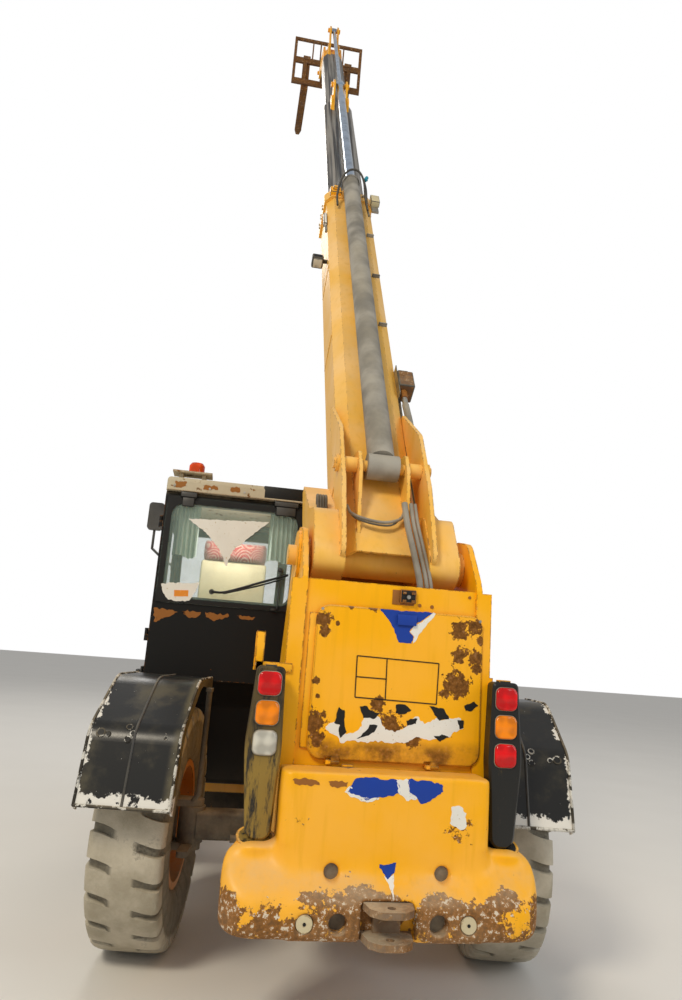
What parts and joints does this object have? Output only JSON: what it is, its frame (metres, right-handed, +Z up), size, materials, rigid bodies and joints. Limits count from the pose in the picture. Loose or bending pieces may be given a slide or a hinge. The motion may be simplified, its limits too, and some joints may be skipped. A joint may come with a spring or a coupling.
{
  "type": "telehandler",
  "caption": "Four-wheel-steer telehandler with left-hand cab, rear counterweight, two-stage telescopic boom with external ram, fork carriage and front stabilisers.",
  "frame": {"origin": "middle of the bounding box on the ground", "axes": "+Z up, +Y forward, +X to the machine's right"},
  "size_m": [2.7518, 9.1972, 12.6555],
  "materials": {
    "yellow_paint": "worn gloss paint with rust chips",
    "rim_paint": "dusty paint",
    "tyre": "dusty rubber",
    "dark_iron": "oily dark metal",
    "black_plastic": "dusty moulded plastic",
    "black_paint": "worn semi gloss",
    "cream_paint": "weathered",
    "cab_glazing": "dusty tinted",
    "red_lens": "clear moulded lens",
    "amber_lens": "clear moulded lens",
    "seat_cloth": "woven",
    "bare_steel": "scuffed by the pads",
    "grey_paint": "dusty",
    "chrome": "polished",
    "rusty_iron": "rusted"
  },
  "bodies": {
    "chassis": {"chassis_frame": "yellow_paint", "boom_tower": "yellow_paint", "counterweight": "yellow_paint", "tow_hitch": "yellow_paint", "lamp_housings": "black_plastic", "tail_lamps": "red_lens", "rear_axle": "dark_iron", "front_axle": "dark_iron", "cab_frame": "black_paint", "cab_roof": "cream_paint", "cab_glass": "cab_glazing", "seat": "seat_cloth", "console": "black_plastic", "beacon": "amber_lens", "beacon_plate": "black_paint", "mirror": "black_plastic", "engine_housing": "yellow_paint", "engine_block": "dark_iron", "side_tank": "black_paint"},
    "cab_door": {"cab_door": "black_paint", "door_glass": "cab_glazing"},
    "engine_hood": {"engine_hood": "yellow_paint"},
    "access_door": {"access_door": "yellow_paint"},
    "stabiliser_left": {"stabiliser_leg_left": "dark_iron"},
    "stabiliser_right": {"stabiliser_leg_right": "dark_iron"},
    "boom_outer": {"boom_outer": "yellow_paint", "ram_barrel": "grey_paint"},
    "boom_mid": {"boom_mid": "bare_steel", "ram_rod_1": "chrome"},
    "boom_inner": {"boom_inner": "bare_steel", "ram_rod_2": "chrome"},
    "lift_barrel": {"lift_barrel": "black_paint"},
    "lift_rod": {"lift_rod": "chrome"},
    "tilt_barrel": {"tilt_barrel": "black_paint"},
    "tilt_rod": {"tilt_rod": "chrome"},
    "carriage": {"fork_carriage": "rusty_iron", "forks": "rusty_iron"},
    "rear_left_knuckle": {"rear_left_knuckle": "dark_iron", "rear_left_fender": "black_plastic"},
    "rear_left_wheel": {"rear_left_rim": "rim_paint", "rear_left_tyre": "tyre"},
    "rear_right_knuckle": {"rear_right_knuckle": "dark_iron", "rear_right_fender": "black_plastic"},
    "rear_right_wheel": {"rear_right_rim": "rim_paint", "rear_right_tyre": "tyre"},
    "front_left_knuckle": {"front_left_knuckle": "dark_iron", "front_left_fender": "black_plastic"},
    "front_left_wheel": {"front_left_rim": "rim_paint", "front_left_tyre": "tyre"},
    "front_right_knuckle": {"front_right_knuckle": "dark_iron", "front_right_fender": "black_plastic"},
    "front_right_wheel": {"front_right_rim": "rim_paint", "front_right_tyre": "tyre"}
  },
  "joints": [
    {"name": "rear_left_steer", "type": "hinge", "parent": "chassis", "child": "rear_left_knuckle", "pos_m": [-0.70087, -3.33357, 0.62957], "axis": [0, 0, 1], "range_deg": [-20, 36]},
    {"name": "rear_left_spin", "type": "hinge", "parent": "rear_left_knuckle", "child": "rear_left_wheel", "pos_m": [-0.90635, -3.30469, 0.62957], "axis": [0.9903, -0.1392, 0], "continuous": true},
    {"name": "rear_right_steer", "type": "hinge", "parent": "chassis", "child": "rear_right_knuckle", "pos_m": [0.85913, -3.33357, 0.62957], "axis": [0, 0, 1], "range_deg": [-20, 36]},
    {"name": "rear_right_spin", "type": "hinge", "parent": "rear_right_knuckle", "child": "rear_right_wheel", "pos_m": [1.06461, -3.36244, 0.62957], "axis": [0.9903, -0.1392, 0], "continuous": true},
    {"name": "front_left_steer", "type": "hinge", "parent": "chassis", "child": "front_left_knuckle", "pos_m": [-0.70087, -0.48357, 0.62957], "axis": [0, 0, 1], "range_deg": [-36, 20]},
    {"name": "front_left_spin", "type": "hinge", "parent": "front_left_knuckle", "child": "front_left_wheel", "pos_m": [-0.90635, -0.51244, 0.62957], "axis": [0.9903, 0.1392, 0], "continuous": true},
    {"name": "front_right_steer", "type": "hinge", "parent": "chassis", "child": "front_right_knuckle", "pos_m": [0.85913, -0.48357, 0.62957], "axis": [0, 0, 1], "range_deg": [-36, 20]},
    {"name": "front_right_spin", "type": "hinge", "parent": "front_right_knuckle", "child": "front_right_wheel", "pos_m": [1.06461, -0.45469, 0.62957], "axis": [0.9903, 0.1392, 0], "continuous": true},
    {"name": "boom_lift", "type": "hinge", "parent": "chassis", "child": "boom_outer", "pos_m": [0.16913, -3.87857, 2.12457], "axis": [1, 0, 0], "range_deg": [-58, 14]},
    {"name": "boom_extend_1", "type": "slide", "parent": "boom_outer", "child": "boom_mid", "axis": [0, 0.5592, 0.829], "range_m": [-2.75, 0.35]},
    {"name": "boom_extend_2", "type": "slide", "parent": "boom_mid", "child": "boom_inner", "axis": [0, 0.5592, 0.829], "range_m": [-2.75, 0.35]},
    {"name": "lift_barrel_swing", "type": "hinge", "parent": "chassis", "child": "lift_barrel", "pos_m": [0.16913, -3.63357, 0.71457], "axis": [1, 0, 0], "range_deg": [-30, 9]},
    {"name": "lift_rod_slide", "type": "slide", "parent": "lift_barrel", "child": "lift_rod", "axis": [0, 0.3373, 0.9414], "range_m": [-1.01, 0.26]},
    {"name": "carriage_tilt", "type": "hinge", "parent": "boom_inner", "child": "carriage", "pos_m": [0.16913, 3.16857, 11.78552], "axis": [1, 0, 0], "range_deg": [-45, 50]},
    {"name": "tilt_barrel_swing", "type": "hinge", "parent": "boom_inner", "child": "tilt_barrel", "pos_m": [0.16913, 2.53749, 11.51158], "axis": [1, 0, 0], "range_deg": [-9, 12.5]},
    {"name": "tilt_rod_slide", "type": "slide", "parent": "tilt_barrel", "child": "tilt_rod", "axis": [0, 0.7515, 0.6597], "range_m": [-0.26, 0.2]},
    {"name": "stabiliser_left_slide", "type": "slide", "parent": "chassis", "child": "stabiliser_left", "axis": [0, 0, 1], "range_m": [-0.395, 0]},
    {"name": "stabiliser_right_slide", "type": "slide", "parent": "chassis", "child": "stabiliser_right", "axis": [0, 0, 1], "range_m": [-0.395, 0]},
    {"name": "cab_door_swing", "type": "hinge", "parent": "chassis", "child": "cab_door", "pos_m": [-1.11887, -2.90857, 1.65457], "axis": [0, 0, 1], "range_deg": [0, 85]},
    {"name": "engine_hood_swing", "type": "hinge", "parent": "chassis", "child": "engine_hood", "pos_m": [0.48913, -2.36357, 1.36657], "axis": [0, -1, 0], "range_deg": [0, 65]},
    {"name": "access_door_swing", "type": "hinge", "parent": "chassis", "child": "access_door", "pos_m": [0.19413, -4.19557, 1.11357], "axis": [1, 0, 0], "range_deg": [0, 85]}
  ],
  "couplings": [
    {"joint": "rear_right_steer", "follows": "rear_left_steer", "ratio": 1},
    {"joint": "front_right_steer", "follows": "front_left_steer", "ratio": 1},
    {"joint": "boom_extend_2", "follows": "boom_extend_1", "ratio": 1},
    {"joint": "lift_barrel_swing", "follows": "boom_lift", "ratio": 0.495},
    {"joint": "lift_rod_slide", "follows": "boom_lift", "m_per_rad": 0.92},
    {"joint": "tilt_barrel_swing", "follows": "carriage_tilt", "ratio": 0.195},
    {"joint": "tilt_rod_slide", "follows": "carriage_tilt", "m_per_rad": -0.22}
  ]
}
